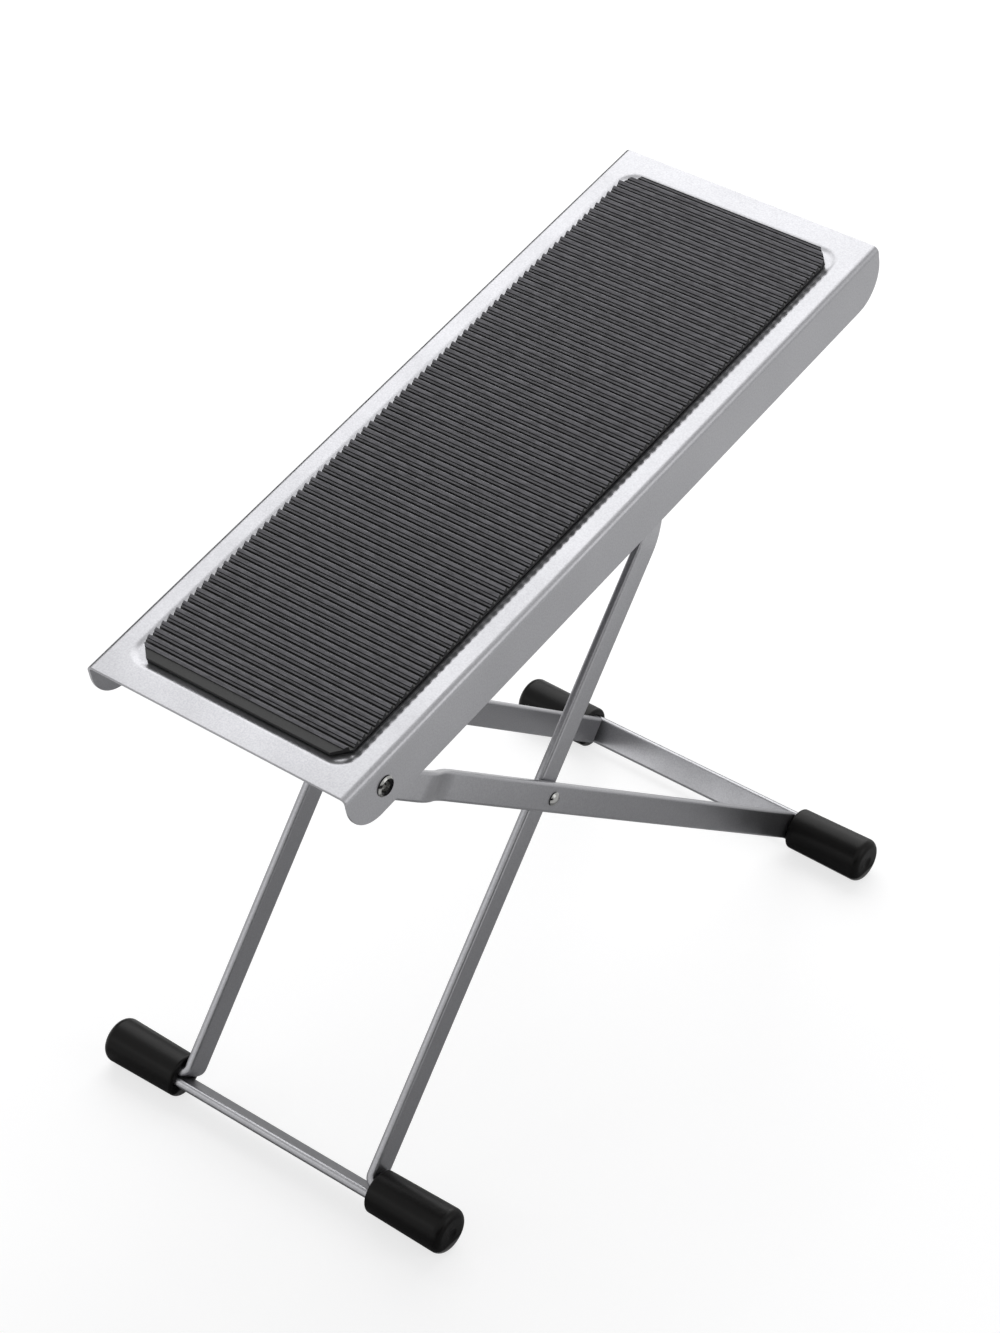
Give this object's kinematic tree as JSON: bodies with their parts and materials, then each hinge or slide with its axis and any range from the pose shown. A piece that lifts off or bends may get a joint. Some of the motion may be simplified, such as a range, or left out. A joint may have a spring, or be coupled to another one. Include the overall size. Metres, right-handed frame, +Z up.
{
  "type": "guitar footrest",
  "caption": "Folding guitar footrest: a pressed metal footplate with a ribbed rubber mat on crossed flat-steel frames with rubber foot caps and notched racks for its height.",
  "frame": {"origin": "on the floor under the middle of the standing footrest: the centre of the bounding box's bottom face", "axes": "+Z up, +Y from the footplate's low front edge to its high rear edge, +X to the right of a player looking along +Y"},
  "size_m": [0.162, 0.2855, 0.2593],
  "materials": {
    "silver_coat": "satin silver powder coat",
    "mat_rubber": "moulded, matt",
    "cap_rubber": "moulded, slight sheen",
    "bright_steel": "bright nickel plate",
    "zinc_steel": "zinc plate",
    "adhesive": "double-sided glue film"
  },
  "bodies": {
    "footplate": {"footplate": "silver_coat", "ribbed_mat": "mat_rubber", "mat_adhesive_film": "adhesive", "rack_left": "zinc_steel", "rack_right": "zinc_steel", "plate_rivet_left": "bright_steel", "plate_rivet_right": "bright_steel", "plate_washer_left": "zinc_steel", "plate_washer_right": "zinc_steel"},
    "rear_frame": {"rear_frame": "silver_coat", "foot_cap_rear_left": "cap_rubber", "foot_cap_rear_right": "cap_rubber", "cross_rivet_left": "bright_steel", "cross_rivet_right": "bright_steel", "cross_washer_left": "zinc_steel", "cross_washer_right": "zinc_steel"},
    "front_frame": {"front_frame": "silver_coat", "support_rod": "bright_steel", "rod_washer_left": "zinc_steel", "rod_washer_right": "zinc_steel", "foot_cap_front_left": "cap_rubber", "foot_cap_front_right": "cap_rubber"}
  },
  "joints": [
    {"name": "fold", "type": "hinge", "parent": "footplate", "child": "rear_frame", "pos_m": [0, -0.12415, 0.19466], "axis": [1, 0, 0], "range_deg": [0, 48.82]},
    {"name": "cross", "type": "hinge", "parent": "rear_frame", "child": "front_frame", "pos_m": [0, -0.03019, 0.12327], "axis": [1, 0, 0], "range_deg": [-88.87, 0]}
  ],
  "couplings": [
    {"joint": "cross", "follows": "fold", "ratio": -1.82}
  ]
}
